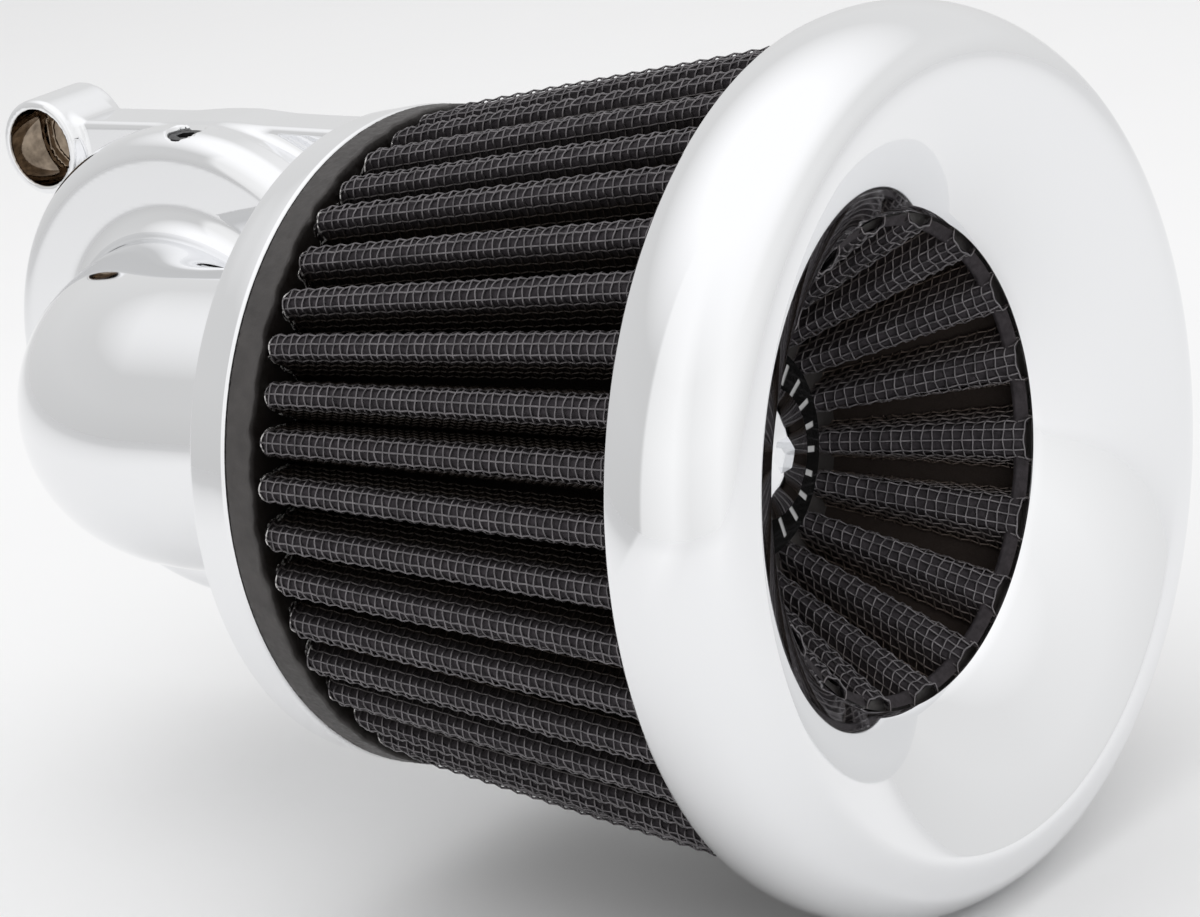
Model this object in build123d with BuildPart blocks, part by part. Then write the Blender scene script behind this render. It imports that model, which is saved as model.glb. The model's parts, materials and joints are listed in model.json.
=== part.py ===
from build123d import *
import os
from math import atan2, cos, degrees, pi, radians, sin, sqrt

# A motorcycle air filter on a ninety degree chrome elbow.
# Frame: origin at the centre of the throttle face, +Y into the engine, +X along the
# filter towards its mouth, +Z up. Sizes are in millimetres.

# ---- driving dimensions -------------------------------------------------------
axis_drop = 60.0            # from the throttle face out to the filter's axis
duct_r = 25.5               # bore of the intake duct
tube_r = 31.25              # outside of the elbow's tube
bend_r = 32.0               # centre-line radius of the elbow's bend
tube_end_x = 80.2           # outlet face of the elbow
gasket_t = 0.8              # thickness of both flat gaskets
gap = 0.3                   # clearance between pieces that come apart

disc_r = 52.5               # rim of the elbow's round body
disc_front_y = -31.0        # its outer face
disc_round = 6.0            # rounding of its front edge
rim_back_y = -20.5          # where the rim steps down to the body behind it
body_r = 50.5               # body behind the rim

spigot_r = 33.0             # throttle adapter: spigot outside
spigot_front_y = -28.0
flange_r = 45.0
flange_t = 5.0
throttle_bolt_circle_r = 38.1
throttle_bolt_hole_r = 3.3
throttle_bolt_angles = (90.0, 210.0, 330.0)

boss_circle_r = 66.0        # breather bosses about the throttle axis
boss_angles = (136.5, 37.0)
boss_r = 10.75
boss_front_y = -17.0
boss_back_y = 1.0
boss_recess_r = 8.6
boss_recess_depth = 12.0
boss_bolt_r = 6.6

set_screw_y = -24.5
set_screw_r = 4.0
set_screw_angles = (86.0, 206.0, 326.0)

ring_back_x = 81.0          # filter mount ring
ring_front_x = 91.0
ring_back_r = 64.1
ring_front_r = 65.5
ring_wall = 3.5

base_cap_front_x = 97.5     # where the outer pleats leave the base cap
base_cap_bore_r = 45.0
front_cap_x = 194.0         # where the outer pleats end in the front cap
inner_front_x = 196.2       # where the inner cone ends, just behind the bell's throat
outer_pleats = 44
outer_crown_front_r = 79.4  # crown radius at the front cap
outer_crown_slope = 0.15
outer_pleat_depth = 14.0
inner_pleats = 18
hub_x = 164.0               # bottom of the inner cone
inner_crown_hub_r = 21.0
inner_crown_front_r = 43.4
inner_pleat_depth = 9.0
inner_crown_half_hub = 2.3  # half the width of a crown, at both ends of the cone
inner_crown_half_front = 3.9
media_t = 1.5
screen_t = 0.5

hub_plate_r = 20.2
hub_plate_t = 3.0
rod_r = 6.0
bolt_r = 4.0
bolt_head_r = 12.5

bell_back_x = 192.0         # rear edge of the bell
bell_centre_x = 200.65      # centre of the bell's rolled rim
bell_centre_r = 63.5
bell_outer_roll = 21.2
bell_wall = 2.4
# arcs of the bell's section, from the outer band (0) over the rim (90) down to the throat
bell_arcs = [(40, bell_outer_roll), (112, 8.0), (135.4, 69.7), (150, 10.0)]

filter_axis = Axis((0, -axis_drop, 0), (1, 0, 0))
axial = Plane.XZ.offset(axis_drop)      # local x along the filter, local y is its radius


def across(x):
    """Plane square to the filter's axis at x, centred on the axis."""
    return Plane(origin=(x, -axis_drop, 0), x_dir=(0, 1, 0), z_dir=(1, 0, 0))


def radial(angle, y):
    """Plane square to a radius of the throttle axis, its origin on that axis."""
    way = (cos(radians(angle)), 0, sin(radians(angle)))
    return Plane(origin=(0, y, 0), x_dir=(0, 1, 0), z_dir=way)


def polar(radius, angle):
    return (radius * cos(radians(angle)), radius * sin(radians(angle)))


def on_throttle_plane(y):
    """Plane square to the throttle axis, local x and y along X and Z."""
    return Plane(origin=(0, y, 0), x_dir=(1, 0, 0), z_dir=(0, -1, 0))


def save(part, label):
    part.label = label
    export_step(part, "parts/" + label + ".step")


os.makedirs("parts", exist_ok=True)

# ---- elbow casting ------------------------------------------------------------
boss_centres = [polar(boss_circle_r, angle) for angle in boss_angles]
web_root = 28.5             # the arms' roots, as circles inside the body
web_root_r = 22.0
web_tip_radii = (5.6, 9.0)
web_front_y = -14.0
web_back_y = -1.0
foot_fillet = 6.5           # where the tube leaves the round body
leg_fillet_start_x = 12.0
leg_fillet_end_x = 42.0
screw_circle_r = 28.4       # spider screws, tapped into the end of the tube
screw_r = 2.0
spider_angles = (90.0, 210.0, 330.0)
gallery_r = 2.5             # breather passages drilled through the arms
gallery_y = -9.0
pocket_r = 5.6              # room for the throttle bolts' heads
pocket_depth = 7.0
o_ring_groove_r = 8.6       # in the back face of each boss
boss_o_ring = 0.9

with BuildLine() as duct_path:
    straight = Line((0, spigot_front_y + 6, 0), (0, bend_r - axis_drop, 0))
    bend = TangentArc(straight @ 1, (bend_r, -axis_drop, 0), tangent=straight % 1)
    Line(bend @ 1, (tube_end_x, -axis_drop, 0))

with BuildPart() as elbow_casting:
    # round body: rim with a rounded front edge, stepped down behind
    with BuildSketch(Plane.XY):
        with BuildLine():
            face = Line((0, disc_front_y), (disc_r - disc_round, disc_front_y))
            edge = RadiusArc(face @ 1, (disc_r, disc_front_y + disc_round), -disc_round)
            Polyline(edge @ 1, (disc_r, rim_back_y), (body_r, rim_back_y + 1), (body_r, 0), (0, 0))
            Line((0, 0), (0, disc_front_y))
        make_face()
    revolve(axis=Axis.Y)
    # tube, filleted into the round body
    with BuildSketch(on_throttle_plane(spigot_front_y + 6)):
        Circle(tube_r)
    sweep(path=duct_path.wires()[0])
    with BuildSketch(Plane.XY):
        with BuildLine():
            Polyline((tube_r, disc_front_y - foot_fillet), (tube_r - 1, disc_front_y - foot_fillet),
                     (tube_r - 1, disc_front_y + 0.5), (tube_r + foot_fillet, disc_front_y + 0.5),
                     (tube_r + foot_fillet, disc_front_y))
            RadiusArc((tube_r + foot_fillet, disc_front_y), (tube_r, disc_front_y - foot_fillet),
                      -foot_fillet)
        make_face()
    revolve(axis=Axis.Y)
    # the same fillet where the horizontal leg of the tube grazes the round body
    leg_drop = axis_drop + disc_front_y - foot_fillet
    leg_side = sqrt((tube_r + foot_fillet) ** 2 - leg_drop ** 2)
    share = tube_r / (tube_r + foot_fillet)
    for side in (-1, 1):
        with BuildSketch(Plane.YZ.offset(leg_fillet_start_x)):
            with BuildLine():
                touch = (leg_drop * share - axis_drop, side * leg_side * share)
                Polyline(touch, (touch[0] - 3, touch[1] - side * 6),
                         (disc_front_y + 0.5, touch[1] - side * 6),
                         (disc_front_y + 0.5, side * leg_side), (disc_front_y, side * leg_side))
                RadiusArc((disc_front_y, side * leg_side), touch, side * foot_fillet)
            make_face()
        extrude(amount=leg_fillet_end_x - leg_fillet_start_x)
    # arms, each a web that runs tangentially out to its boss
    for centre, tip_r, side in zip(boss_centres, web_tip_radii, (-1, 1)):
        with BuildSketch(on_throttle_plane(web_back_y)):
            with Locations((side * 5, web_root)):
                Circle(web_root_r)
            with Locations(centre):
                Circle(tip_r)
            make_hull()
        extrude(amount=web_back_y - web_front_y)
    # bosses, with a recess for the bolt head and a groove for the O-ring behind
    for centre in boss_centres:
        with BuildSketch(on_throttle_plane(boss_back_y)):
            with Locations(centre):
                Circle(boss_r)
        boss = extrude(amount=boss_back_y - boss_front_y)
    boss_rims = elbow_casting.edges().filter_by(GeomType.CIRCLE).filter_by(
        lambda e: abs(e.radius - boss_r) < 0.01 and abs(e.center().Y - boss_front_y) < 0.01)
    fillet(boss_rims, radius=0.9)
    boss_backs = elbow_casting.edges().filter_by(GeomType.CIRCLE).filter_by(
        lambda e: abs(e.radius - boss_r) < 0.01 and abs(e.center().Y - boss_back_y) < 0.01)
    fillet(boss_backs, radius=0.8)
    for centre in boss_centres:
        with BuildSketch(on_throttle_plane(boss_back_y + 1)):
            with Locations(centre):
                Circle(boss_bolt_r)
        extrude(amount=boss_back_y + 1 - boss_front_y, mode=Mode.SUBTRACT)
        with BuildSketch(on_throttle_plane(boss_front_y + boss_recess_depth)):
            with Locations(centre):
                Circle(boss_recess_r)
        extrude(amount=boss_recess_depth + 1, mode=Mode.SUBTRACT)
        with BuildSketch(on_throttle_plane(boss_back_y)):
            with Locations(centre):
                Circle(o_ring_groove_r + boss_o_ring)
                Circle(o_ring_groove_r - boss_o_ring, mode=Mode.SUBTRACT)
        extrude(amount=2 * boss_o_ring, mode=Mode.SUBTRACT)
    # duct, socket for the adapter's spigot and recess for its flange
    with BuildSketch(on_throttle_plane(spigot_front_y + 6)):
        Circle(duct_r)
    sweep(path=duct_path.wires()[0], mode=Mode.SUBTRACT)
    with BuildSketch(on_throttle_plane(0)):
        Circle(spigot_r + 0.05)
    extrude(amount=-spigot_front_y + 0.1, mode=Mode.SUBTRACT)
    with BuildSketch(on_throttle_plane(0)):
        Circle(flange_r + 0.2)
    extrude(amount=flange_t + gasket_t, mode=Mode.SUBTRACT)
    with BuildSketch(on_throttle_plane(-flange_t)):
        with Locations([polar(throttle_bolt_circle_r, angle) for angle in throttle_bolt_angles]):
            Circle(pocket_r)
    extrude(amount=pocket_depth, mode=Mode.SUBTRACT)
    # tapped holes for the set screws and the spider's screws, and the breather passages
    for angle in set_screw_angles:
        with BuildSketch(radial(angle, set_screw_y)):
            Circle(set_screw_r)
        extrude(amount=disc_r + 2, mode=Mode.SUBTRACT)
    with BuildSketch(across(tube_end_x)):
        with Locations([polar(screw_circle_r, angle) for angle in spider_angles]):
            Circle(screw_r)
    extrude(amount=-14, mode=Mode.SUBTRACT)
    for angle in boss_angles:
        with BuildSketch(radial(angle, gallery_y)):
            Circle(gallery_r)
        extrude(amount=boss_circle_r, mode=Mode.SUBTRACT)
save(elbow_casting.part, "elbow_casting")

# ---- throttle adapter and its seals -------------------------------------------
relief_r = spigot_r - 1.5   # ring passage that the breather galleries open into
o_ring_y = -17.5
o_ring_r = 1.0

with BuildPart() as throttle_adapter:
    with BuildSketch(on_throttle_plane(-gasket_t)):
        Circle(flange_r)
        with PolarLocations(throttle_bolt_circle_r, 3, start_angle=throttle_bolt_angles[0]):
            Circle(throttle_bolt_hole_r, mode=Mode.SUBTRACT)
    extrude(amount=flange_t)
    with BuildSketch(on_throttle_plane(-gasket_t)):
        Circle(spigot_r)
    extrude(amount=-spigot_front_y - gasket_t)
    with BuildSketch(on_throttle_plane(0)):
        Circle(duct_r)
    extrude(amount=-spigot_front_y + 1, mode=Mode.SUBTRACT)
    with BuildSketch(Plane.XY):
        with Locations((spigot_r, gallery_y)):
            Rectangle(2 * (spigot_r - relief_r), 2 * gallery_r)
        with Locations((spigot_r, o_ring_y)):
            Rectangle(4.4 * o_ring_r, 2.6 * o_ring_r)
    revolve(axis=Axis.Y, mode=Mode.SUBTRACT)
    for angle in range(0, 360, 60):
        with BuildSketch(radial(angle, gallery_y)):
            Circle(gallery_r - 0.5)
        extrude(amount=spigot_r + 1, mode=Mode.SUBTRACT)
save(throttle_adapter.part, "throttle_adapter")

with BuildPart() as throttle_gasket:
    with BuildSketch(on_throttle_plane(0)):
        Circle(flange_r)
        Circle(duct_r, mode=Mode.SUBTRACT)
        with PolarLocations(throttle_bolt_circle_r, 3, start_angle=throttle_bolt_angles[0]):
            Circle(throttle_bolt_hole_r, mode=Mode.SUBTRACT)
    extrude(amount=gasket_t)
save(throttle_gasket.part, "throttle_gasket")

with BuildPart() as adapter_o_ring:
    with BuildSketch(Plane.XY):
        with Locations((spigot_r - o_ring_r, o_ring_y)):
            Circle(o_ring_r * 0.95)
    revolve(axis=Axis.Y)
save(adapter_o_ring.part, "adapter_o_ring")

with BuildPart() as breather_o_rings:
    for centre in boss_centres:
        boss_axis = Axis((centre[0], 0, centre[1]), (0, 1, 0))
        with BuildSketch(Plane((centre[0], boss_back_y - boss_o_ring, centre[1]), z_dir=(0, 0, 1))):
            with Locations((o_ring_groove_r, 0)):
                Circle(boss_o_ring * 0.8)
        revolve(axis=boss_axis)
save(breather_o_rings.part, "breather_o_rings")

with BuildPart() as elbow_set_screws:
    for angle in set_screw_angles:
        with BuildSketch(radial(angle, set_screw_y).offset(spigot_r + 6.5)):
            Circle(set_screw_r - 0.05)
        extrude(amount=11.5)
        with BuildSketch(radial(angle, set_screw_y).offset(spigot_r + 0.1)):
            Circle(set_screw_r * 0.6)
        extrude(amount=6.6)
        with BuildSketch(radial(angle, set_screw_y).offset(spigot_r + 12)):
            RegularPolygon(2.3, 6)
        extrude(amount=6.5, mode=Mode.SUBTRACT)
save(elbow_set_screws.part, "elbow_set_screws")

# ---- filter mount ring, spider and rod ----------------------------------------
cup_r = 61.6                # inside of the ring's cup
spider_t = 3.2
rod_front_x = hub_x - gap

with BuildPart() as outlet_gasket:
    with BuildSketch(across(tube_end_x)):
        Circle(tube_r)
        Circle(duct_r, mode=Mode.SUBTRACT)
        with PolarLocations(screw_circle_r, 3, start_angle=spider_angles[0]):
            Circle(screw_r + 0.2, mode=Mode.SUBTRACT)
    extrude(amount=gasket_t)
save(outlet_gasket.part, "outlet_gasket")

with BuildPart() as filter_mount_ring:
    with BuildSketch(axial):
        with BuildLine():
            Polyline((ring_back_x, duct_r), (ring_back_x, ring_back_r), (ring_front_x, ring_front_r),
                     (ring_front_x, cup_r), (ring_back_x + ring_wall, cup_r),
                     (ring_back_x + ring_wall, duct_r), close=True)
        make_face()
    revolve(axis=filter_axis)
    outer_rims = filter_mount_ring.edges().filter_by(GeomType.CIRCLE).filter_by(
        lambda e: e.radius > cup_r + 1)
    fillet(outer_rims, radius=1.0)
    with BuildSketch(across(ring_back_x)):
        with PolarLocations(screw_circle_r, 3, start_angle=spider_angles[0]):
            Circle(screw_r + 0.2)
    extrude(amount=ring_wall, mode=Mode.SUBTRACT)
save(filter_mount_ring.part, "filter_mount_ring")

spider_x = ring_back_x + ring_wall
with BuildPart() as rod_spider:
    with BuildSketch(across(spider_x)):
        Circle(9)
        for angle in spider_angles:
            with Locations(polar(17, angle)):
                Rectangle(34, 8, rotation=angle)
        with PolarLocations(screw_circle_r, 3, start_angle=spider_angles[0]):
            Circle(screw_r + 0.2, mode=Mode.SUBTRACT)
    extrude(amount=spider_t)
    with BuildSketch(across(spider_x)):
        Circle(9)
    extrude(amount=8)
    with BuildSketch(across(spider_x)):
        Circle(rod_r - 2)
    extrude(amount=8, mode=Mode.SUBTRACT)
save(rod_spider.part, "rod_spider")

with BuildPart() as spider_screws:
    with BuildSketch(across(spider_x + spider_t)):
        with PolarLocations(screw_circle_r, 3, start_angle=spider_angles[0]):
            Circle(3.5)
    extrude(amount=4)
    with BuildSketch(across(spider_x + spider_t)):
        with PolarLocations(screw_circle_r, 3, start_angle=spider_angles[0]):
            Circle(screw_r - 0.05)
    extrude(amount=-16)
    with BuildSketch(across(spider_x + spider_t + 4)):
        with PolarLocations(screw_circle_r, 3, start_angle=spider_angles[0]):
            RegularPolygon(1.7, 6)
    extrude(amount=-2.2, mode=Mode.SUBTRACT)
save(spider_screws.part, "spider_screws")

with BuildPart() as spacer_rod:
    with BuildSketch(across(spider_x + 8)):
        Circle(rod_r)
    extrude(amount=rod_front_x - spider_x - 8)
    with BuildSketch(across(spider_x + 0.5)):
        Circle(rod_r - 2.05)
    extrude(amount=8)
    with BuildSketch(across(rod_front_x)):
        Circle(bolt_r + gap)
    extrude(amount=-22, mode=Mode.SUBTRACT)
save(spacer_rod.part, "spacer_rod")

# ---- filter element -----------------------------------------------------------
def crown_points(count, crown_r, valley_r, crown_half, valley_half):
    """Closed outline of a pleated cone's section: each pleat has a crown and a valley."""
    points = []
    for i in range(count):
        for radius, half, turn in ((crown_r, crown_half, i), (valley_r, valley_half, i + 0.5)):
            angle = 2 * pi * turn / count
            for side in (-half, half):
                points.append((radius * cos(angle) - side * sin(angle),
                               radius * sin(angle) + side * cos(angle)))
    return points


def pleated_shell(count, sections, inner, outer):
    """Shell between two offsets of a pleated cone. Each section is (x, crown, valley, halves)."""
    out = 1 if sections[0][1] > sections[0][2] else -1
    with BuildPart() as shell:
        for depth, mode in ((outer, Mode.ADD), (inner, Mode.SUBTRACT)):
            for x, crown_r, valley_r, crown_half, valley_half in sections:
                with BuildSketch(across(x)):
                    Polygon(*crown_points(count, crown_r + depth, valley_r + depth,
                                          crown_half + out * depth, valley_half - out * depth),
                            align=None)
            loft(ruled=True, mode=mode)
    return shell.part


def outer_section(x):
    crown = outer_crown_front_r - outer_crown_slope * (front_cap_x - x)
    return (x, crown, crown - outer_pleat_depth, 0.034 * crown, 0.75)


def inner_section(x):
    share = (x - hub_x) / (inner_front_x - hub_x)
    crown = inner_crown_hub_r + share * (inner_crown_front_r - inner_crown_hub_r)
    half = inner_crown_half_hub + share * (inner_crown_half_front - inner_crown_half_hub)
    return (x, crown, crown + inner_pleat_depth, half, half)


outer_sections = [outer_section(base_cap_front_x), outer_section(front_cap_x)]
inner_sections = [inner_section(hub_x), inner_section(inner_front_x)]
skin = 0.1                  # between the layers, so that each is its own solid
layers = {
    "wire_screen": (skin, skin + screen_t),
    "pleated_media": (-media_t, 0),
    "support_screen": (-media_t - skin - screen_t, -media_t - skin),
}
for layer, (low, high) in layers.items():
    save(pleated_shell(outer_pleats, outer_sections, low, high), "outer_" + layer)
    save(pleated_shell(inner_pleats, inner_sections, -high, -low), "inner_" + layer)

base_cap_r = ring_front_r - 0.4
with BuildPart() as base_end_cap:
    with BuildSketch(axial):
        with BuildLine():
            Polyline((spider_x + gap, base_cap_bore_r), (spider_x + gap, cup_r - gap),
                     (ring_front_x + gap, cup_r - gap), (ring_front_x + gap, base_cap_r),
                     (base_cap_front_x, base_cap_r), (base_cap_front_x, base_cap_bore_r), close=True)
        make_face()
    revolve(axis=filter_axis)
save(base_end_cap.part, "base_end_cap")

front_cap_back_r = outer_crown_front_r - 0.2
front_cap_lip_x = 197.0     # the cap stops here behind the bell's lip
front_cap_step_r = 57.5     # it steps back here, between the two cones
front_cap_end_x = 205.0
front_cap_lip_r = 47.6       # from here the cap slopes out along the bell's face
front_cap_slope_r = 58.0
trumpet_o_ring_r = 1.6      # seals the cap inside the bell's outer band
with BuildPart() as front_end_cap:
    with BuildSketch(axial):
        with BuildLine():
            Polyline((inner_front_x, inner_crown_front_r + 0.2), (inner_front_x, front_cap_step_r),
                     (front_cap_x, front_cap_step_r), (front_cap_x, front_cap_back_r),
                     (front_cap_end_x, front_cap_back_r), (front_cap_end_x, front_cap_slope_r),
                     (front_cap_lip_x, front_cap_lip_r), (front_cap_lip_x, inner_crown_front_r + 0.2),
                     close=True)
        make_face()
        with Locations((front_cap_x + 4.5, front_cap_back_r)):
            Rectangle(2.2 * trumpet_o_ring_r, 2.4, mode=Mode.SUBTRACT)
    revolve(axis=filter_axis)
save(front_end_cap.part, "front_end_cap")

hub_cap_back_x = hub_x - 6.0
with BuildPart() as hub_end_cap:
    with BuildSketch(axial):
        with Locations(((hub_cap_back_x + hub_x) / 2, (rod_r + gap + inner_crown_hub_r + 11) / 2)):
            Rectangle(hub_x - hub_cap_back_x, inner_crown_hub_r + 11 - rod_r - gap)
    revolve(axis=filter_axis)
save(hub_end_cap.part, "hub_end_cap")

mark_low_r = 14.5           # band of engraved marks on the hub plate
mark_high_r = 18.8
mark_count = 24
with BuildPart() as hub_plate:
    with BuildSketch(across(hub_x)):
        Circle(hub_plate_r)
        Circle(bolt_r + gap, mode=Mode.SUBTRACT)
    extrude(amount=hub_plate_t)
    with BuildSketch(across(hub_x + hub_plate_t)):
        with PolarLocations((mark_low_r + mark_high_r) / 2, mark_count):
            Rectangle(mark_high_r - mark_low_r, 1.2)
    extrude(amount=-0.3, mode=Mode.SUBTRACT)
save(hub_plate.part, "hub_plate")

# ---- centre bolt --------------------------------------------------------------
washer_t = 1.0
washer_back_x = hub_x + hub_plate_t + 0.2
head_back_x = washer_back_x + washer_t
head_height = 4.8
head_rim = 1.4
dome = head_height - head_rim
dome_r = (bolt_head_r ** 2 + dome ** 2) / (2 * dome)
with BuildPart() as bolt_washer:
    with BuildSketch(across(washer_back_x)):
        Circle(bolt_head_r - 1)
        Circle(bolt_r + 0.05, mode=Mode.SUBTRACT)
    extrude(amount=washer_t)
save(bolt_washer.part, "bolt_washer")

with BuildPart() as centre_bolt:
    with BuildSketch(axial):
        with BuildLine():
            base = Polyline((head_back_x + head_height, 0), (head_back_x, 0),
                            (head_back_x, bolt_head_r), (head_back_x + head_rim, bolt_head_r))
            RadiusArc(base @ 1, base @ 0, dome_r)
        make_face()
    revolve(axis=filter_axis)
    with BuildSketch(across(head_back_x)):
        Circle(bolt_r)
    extrude(amount=-24)
    with BuildSketch(across(head_back_x + head_height)):
        RegularPolygon(3.6, 6)
    extrude(amount=-3.4, mode=Mode.SUBTRACT)
save(centre_bolt.part, "centre_bolt")

# ---- bell ---------------------------------------------------------------------
back_angle = -degrees(atan2(bell_centre_x - bell_back_x, bell_outer_roll * 0.913))
with BuildPart() as bell_trumpet:
    with BuildSketch(axial):
        with BuildLine():
            starts = []
            ends = []
            for inset in (0, bell_wall):
                turn = radians(back_angle)
                corner = (bell_centre_x + (bell_outer_roll - inset) * sin(turn),
                          bell_centre_r + (bell_outer_roll - inset) * cos(turn))
                starts.append(corner)
                angle = back_angle
                for end_angle, radius in bell_arcs:
                    heading = (cos(radians(angle)), -sin(radians(angle)))
                    arc = JernArc(corner, heading, radius - inset, angle - end_angle)
                    corner = arc @ 1
                    angle = end_angle
                ends.append(corner)
            Line(starts[0], starts[1])
            Line(ends[0], ends[1])
        make_face()
    revolve(axis=filter_axis)
    fillet(bell_trumpet.edges().filter_by(GeomType.CIRCLE).group_by(Axis.X)[0], radius=0.6)
save(bell_trumpet.part, "bell_trumpet")

with BuildPart() as trumpet_o_ring:
    with BuildSketch(axial):
        with Locations((front_cap_x + 4.5, front_cap_back_r + 0.8)):
            Circle(trumpet_o_ring_r)
    revolve(axis=filter_axis)
save(trumpet_o_ring.part, "trumpet_o_ring")
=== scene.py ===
import json
from math import cos, pi, radians, sin

import bpy
import numpy as np
import openvdb
from mathutils import Matrix, Vector


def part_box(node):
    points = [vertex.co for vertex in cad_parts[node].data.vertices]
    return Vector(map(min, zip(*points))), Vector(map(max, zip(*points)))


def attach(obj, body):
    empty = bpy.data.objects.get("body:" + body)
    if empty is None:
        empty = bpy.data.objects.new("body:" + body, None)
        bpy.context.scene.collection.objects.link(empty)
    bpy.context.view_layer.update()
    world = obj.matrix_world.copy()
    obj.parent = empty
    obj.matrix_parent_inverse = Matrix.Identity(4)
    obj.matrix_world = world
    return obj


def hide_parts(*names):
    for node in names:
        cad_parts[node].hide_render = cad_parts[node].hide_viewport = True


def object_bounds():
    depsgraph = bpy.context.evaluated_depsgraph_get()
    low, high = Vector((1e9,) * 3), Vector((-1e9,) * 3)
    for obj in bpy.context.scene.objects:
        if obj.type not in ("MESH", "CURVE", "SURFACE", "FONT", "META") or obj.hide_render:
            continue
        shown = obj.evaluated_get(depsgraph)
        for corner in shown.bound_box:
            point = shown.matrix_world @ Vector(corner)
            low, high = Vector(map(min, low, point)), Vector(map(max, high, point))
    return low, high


# Chrome trumpet air filter on its elbow. The filter's axis runs along +X through
# (y, z) = (AXIS_Y, 0); the throttle axis runs along +Y through the origin.

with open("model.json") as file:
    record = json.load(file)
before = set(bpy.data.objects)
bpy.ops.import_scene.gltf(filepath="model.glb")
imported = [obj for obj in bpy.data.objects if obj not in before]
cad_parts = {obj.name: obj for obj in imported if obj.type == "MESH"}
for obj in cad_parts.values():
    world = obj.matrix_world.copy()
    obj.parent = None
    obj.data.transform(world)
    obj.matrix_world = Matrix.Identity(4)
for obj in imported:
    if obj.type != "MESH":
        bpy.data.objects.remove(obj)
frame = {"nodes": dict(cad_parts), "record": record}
cad_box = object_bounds()
rng = np.random.default_rng(7)
MM = 0.001

# ---- sizes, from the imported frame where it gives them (millimetres) --------------------


def mm_box(node):
    low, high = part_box(node)
    return [v / MM for v in low], [v / MM for v in high]


media_low, media_high = mm_box("outer_pleated_media")
hub_high = mm_box("hub_plate")[1]
ring_low, ring_high = mm_box("filter_mount_ring")
base_low, base_high = mm_box("base_end_cap")
inner_low, inner_high = mm_box("inner_pleated_media")
casting_low, casting_high = mm_box("elbow_casting")
AXIS_Y = (ring_low[1] + ring_high[1]) / 2

CHROME = (0.86, 0.865, 0.875)
WIRE_PITCH = 2.0
WIRE_R = 0.2
WEAVE = 0.95 * WIRE_R       # how far the wires swing over and under one another
WIRE_LANES = 5              # wires along a pleat, on each side of its crown
STEPS_PER_PITCH = 2         # points of such a wire per pitch
CLOTH_OFFSET = -0.42        # the cloth lies this far below the middle of the wires
SECTION_STEP = 0.1          # spacing of the points of a pleat's section
TUCK = 3.2                  # the pleats' crowns round down over this length into the base cap
PLEATS = 44
INNER_PLEATS = 18
BELL_SEGMENTS = 288
CAP_SEGMENTS = 600


# ---- mesh helpers ----------------------------------------------------------------------

def new_piece(name, points, quads, body, material, replaced=(), normals=None):
    """A mesh piece from millimetre points and an array of quads, riding on its body."""
    mesh = bpy.data.meshes.new(name)
    points = np.asarray(points, dtype=np.float32) * MM
    quads = np.asarray(quads, dtype=np.int32)
    mesh.vertices.add(len(points))
    mesh.vertices.foreach_set("co", points.ravel())
    sides = quads.shape[1]
    mesh.loops.add(quads.size)
    mesh.loops.foreach_set("vertex_index", quads.ravel())
    mesh.polygons.add(len(quads))
    mesh.polygons.foreach_set("loop_start", np.arange(len(quads), dtype=np.int32) * sides)
    mesh.update(calc_edges=True)
    mesh.validate()
    mesh.shade_smooth()
    if normals is not None:
        mesh.normals_split_custom_set_from_vertices([tuple(n) for n in normals])
    mesh.materials.append(material)
    piece = bpy.data.objects.new(name, mesh)
    bpy.context.scene.collection.objects.link(piece)
    if replaced:
        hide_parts(*replaced)
    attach(piece, body)
    return piece


def grid_quads(rows, columns, wrap_rows=False):
    """Quads of a rows x columns grid of points. Each row is a closed ring; the rows can close too."""
    r = np.arange(rows if wrap_rows else rows - 1)
    r, c = (a.ravel() for a in np.meshgrid(r, np.arange(columns), indexing="ij"))
    r2 = (r + 1) % rows
    c2 = (c + 1) % columns
    return np.stack([r * columns + c, r * columns + c2, r2 * columns + c2, r2 * columns + c], 1)


def on_axis(x, radius, angle):
    """Points about the filter's axis; angle runs from +Y towards +Z."""
    x, radius, angle = np.broadcast_arrays(x, radius, angle)
    return np.stack([x, AXIS_Y + radius * np.cos(angle), radius * np.sin(angle)], -1)


def revolve(profile, segments):
    """Points and quads of a closed profile of (x, radius) turned about the filter's axis."""
    profile = np.asarray(profile, float)
    angle = np.arange(segments) * 2 * pi / segments
    points = on_axis(profile[None, :, 0], profile[None, :, 1], angle[:, None])
    quads = grid_quads(segments, len(profile), wrap_rows=True)
    return points.reshape(-1, 3), quads[:, ::-1]


def rounded(corners, radii, steps=6):
    """A closed outline with each corner rounded by its own radius."""
    corners = np.asarray(corners, float)
    outline = []
    for i, corner in enumerate(corners):
        before = corners[i - 1] - corner
        after = corners[(i + 1) % len(corners)] - corner
        before /= np.linalg.norm(before)
        after /= np.linalg.norm(after)
        half = 0.5 * np.arccos(np.clip(before @ after, -1, 1))
        reach = radii[i] / np.tan(half)
        middle = before + after
        centre = corner + middle / np.linalg.norm(middle) * radii[i] / np.sin(half)
        start = corner + before * reach - centre
        end = corner + after * reach - centre
        for k in range(steps + 1):
            t = k / steps
            way = start * (1 - t) + end * t
            outline.append(centre + way / np.linalg.norm(way) * radii[i])
    return np.array(outline)


def densify(outline, step):
    """The outline with extra points so that no edge is longer than step."""
    dense = []
    for i, point in enumerate(outline):
        after = outline[(i + 1) % len(outline)]
        count = max(1, int(np.ceil(np.linalg.norm(after - point) / step)))
        for k in range(count):
            dense.append(point + (after - point) * k / count)
    return np.array(dense)


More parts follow.
